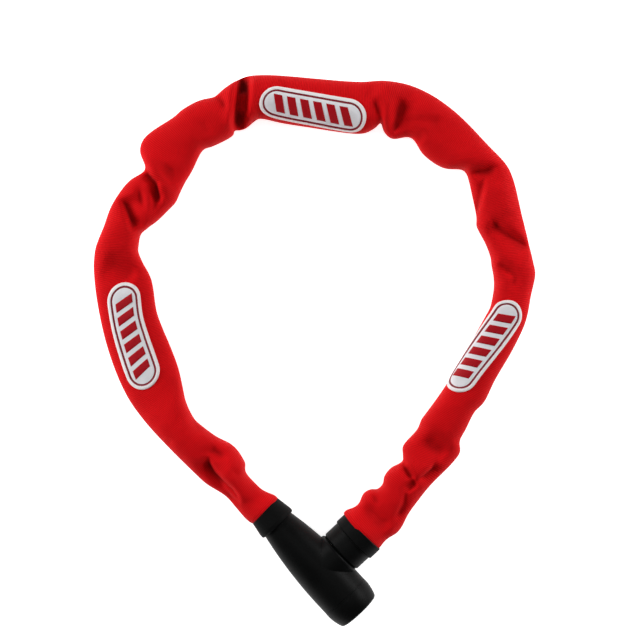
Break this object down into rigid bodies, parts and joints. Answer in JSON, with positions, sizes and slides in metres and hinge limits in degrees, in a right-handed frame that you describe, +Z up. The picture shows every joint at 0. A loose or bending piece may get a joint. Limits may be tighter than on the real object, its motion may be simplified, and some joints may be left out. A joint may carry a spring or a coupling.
{
  "type": "chain lock",
  "caption": "Barrel lock with a key cylinder and a side socket, and a steel chain in a fabric sleeve that ends in a plug-in locking stud.",
  "frame": {"origin": "on the ground, under the centre of the box round the closed loop", "axes": "+Z up from the ground, +Y from the lock towards the far side of the loop, +X to the right of that"},
  "size_m": [0.2858, 0.3558, 0.0336],
  "materials": {
    "lock_plastic": "soft-touch black",
    "cuff_rubber": "smooth black",
    "hardened_steel": "hardened, oiled",
    "cylinder_brass": "machined",
    "spring_steel": "bright wire",
    "chain_steel": "zinc plated",
    "sleeve_fabric": "ribbed woven tube",
    "patch_fabric": "white sewn label with a silver face"
  },
  "bodies": {
    "lock": {"lock_cover": "lock_plastic", "end_cap": "lock_plastic", "lock_core": "hardened_steel", "cylinder_housing": "cylinder_brass", "cylinder_pin": "hardened_steel", "anchor_pin": "hardened_steel", "lock_end_cuff": "cuff_rubber"},
    "plug": {"cylinder_plug": "cylinder_brass", "plug_wafers": "cylinder_brass", "wafer_springs": "spring_steel", "plug_clip": "spring_steel"},
    "latch": {"latch_yoke": "hardened_steel"},
    "length_01": {"chain_links_01": "chain_steel", "sleeve_01": "sleeve_fabric"},
    "length_02": {"chain_links_02": "chain_steel", "sleeve_02": "sleeve_fabric"},
    "length_03": {"chain_links_03": "chain_steel", "sleeve_03": "sleeve_fabric", "patch_left": "patch_fabric"},
    "length_04": {"chain_links_04": "chain_steel", "sleeve_04": "sleeve_fabric"},
    "length_05": {"chain_links_05": "chain_steel", "sleeve_05": "sleeve_fabric"},
    "length_06": {"chain_links_06": "chain_steel", "sleeve_06": "sleeve_fabric"},
    "length_07": {"chain_links_07": "chain_steel", "sleeve_07": "sleeve_fabric", "patch_top": "patch_fabric"},
    "length_08": {"chain_links_08": "chain_steel", "sleeve_08": "sleeve_fabric"},
    "length_09": {"chain_links_09": "chain_steel", "sleeve_09": "sleeve_fabric"},
    "length_10": {"chain_links_10": "chain_steel", "sleeve_10": "sleeve_fabric"},
    "length_11": {"chain_links_11": "chain_steel", "sleeve_11": "sleeve_fabric", "patch_right": "patch_fabric"},
    "length_12": {"chain_links_12": "chain_steel", "sleeve_12": "sleeve_fabric"},
    "length_13": {"chain_links_13": "chain_steel", "sleeve_13": "sleeve_fabric"},
    "stud_end": {"locking_stud": "hardened_steel", "stud_pin": "hardened_steel", "stud_collar": "lock_plastic", "bolt_end_cuff": "cuff_rubber"}
  },
  "joints": [
    {"name": "key_turn", "type": "hinge", "parent": "lock", "child": "plug", "pos_m": [0.02079, -0.15986, 0.0167], "axis": [0.682, -0.7314, 0], "range_deg": [0, 90]},
    {"name": "latch_slide", "type": "slide", "parent": "lock", "child": "latch", "axis": [0, 0, 1], "range_m": [0, 0.0021]},
    {"name": "chain_open", "type": "hinge", "parent": "lock", "child": "length_01", "pos_m": [-0.01877, -0.11745, 0.0167], "axis": [0, 0, 1], "range_deg": [-3.06, 0]},
    {"name": "chain_hinge_01", "type": "hinge", "parent": "length_01", "child": "length_02", "pos_m": [-0.05454, -0.08082, 0.01208], "axis": [0, 0, 1], "range_deg": [-3.9, 0]},
    {"name": "chain_hinge_02", "type": "hinge", "parent": "length_02", "child": "length_03", "pos_m": [-0.10183, -0.02944, 0.0098], "axis": [0, 0, 1], "range_deg": [-0.369, 0]},
    {"name": "chain_hinge_03", "type": "hinge", "parent": "length_03", "child": "length_04", "pos_m": [-0.12743, 0.04954, 0.0098], "axis": [0, 0, 1], "range_deg": [0, 4.52]},
    {"name": "chain_hinge_04", "type": "hinge", "parent": "length_04", "child": "length_05", "pos_m": [-0.11284, 0.09732, 0.0098], "axis": [0, 0, 1], "range_deg": [0, 4.57]},
    {"name": "chain_hinge_05", "type": "hinge", "parent": "length_05", "child": "length_06", "pos_m": [-0.08302, 0.13895, 0.0098], "axis": [0, 0, 1], "range_deg": [0, 3.42]},
    {"name": "chain_hinge_06", "type": "hinge", "parent": "length_06", "child": "length_07", "pos_m": [-0.03719, 0.16055, 0.0098], "axis": [0, 0, 1], "range_deg": [0, 1.68]},
    {"name": "chain_hinge_07", "type": "hinge", "parent": "length_07", "child": "length_08", "pos_m": [0.03303, 0.16009, 0.0098], "axis": [0, 0, 1], "range_deg": [0, 0.797]},
    {"name": "chain_hinge_08", "type": "hinge", "parent": "length_08", "child": "length_09", "pos_m": [0.0813, 0.14367, 0.0098], "axis": [0, 0, 1], "range_deg": [-1.55, 0]},
    {"name": "chain_hinge_09", "type": "hinge", "parent": "length_09", "child": "length_10", "pos_m": [0.11435, 0.10568, 0.0098], "axis": [0, 0, 1], "range_deg": [-2.37, 0]},
    {"name": "chain_hinge_10", "type": "hinge", "parent": "length_10", "child": "length_11", "pos_m": [0.12736, 0.05618, 0.0098], "axis": [0, 0, 1], "range_deg": [-0.592, 0]},
    {"name": "chain_hinge_11", "type": "hinge", "parent": "length_11", "child": "length_12", "pos_m": [0.09273, -0.0386, 0.0098], "axis": [0, 0, 1], "range_deg": [-1.75, 0]},
    {"name": "chain_hinge_12", "type": "hinge", "parent": "length_12", "child": "length_13", "pos_m": [0.06255, -0.07996, 0.01204], "axis": [0, 0, 1], "range_deg": [-0.593, 0]},
    {"name": "stud_hinge", "type": "hinge", "parent": "length_13", "child": "stud_end", "pos_m": [0.02894, -0.11876, 0.0167], "axis": [0, 0, 1], "range_deg": [-0.794, 0]}
  ],
  "couplings": [
    {"joint": "latch_slide", "follows": "key_turn", "m_per_rad": 0.0013369},
    {"joint": "chain_hinge_01", "follows": "chain_open", "ratio": 1.2752},
    {"joint": "chain_hinge_02", "follows": "chain_open", "ratio": 0.12023},
    {"joint": "chain_hinge_03", "follows": "chain_open", "ratio": -1.477},
    {"joint": "chain_hinge_04", "follows": "chain_open", "ratio": -1.4914},
    {"joint": "chain_hinge_05", "follows": "chain_open", "ratio": -1.1171},
    {"joint": "chain_hinge_06", "follows": "chain_open", "ratio": -0.54811},
    {"joint": "chain_hinge_07", "follows": "chain_open", "ratio": -0.26024},
    {"joint": "chain_hinge_08", "follows": "chain_open", "ratio": 0.50654},
    {"joint": "chain_hinge_09", "follows": "chain_open", "ratio": 0.77418},
    {"joint": "chain_hinge_10", "follows": "chain_open", "ratio": 0.193},
    {"joint": "chain_hinge_11", "follows": "chain_open", "ratio": 0.57236},
    {"joint": "chain_hinge_12", "follows": "chain_open", "ratio": 0.19338},
    {"joint": "stud_hinge", "follows": "chain_open", "ratio": 0.25901}
  ]
}
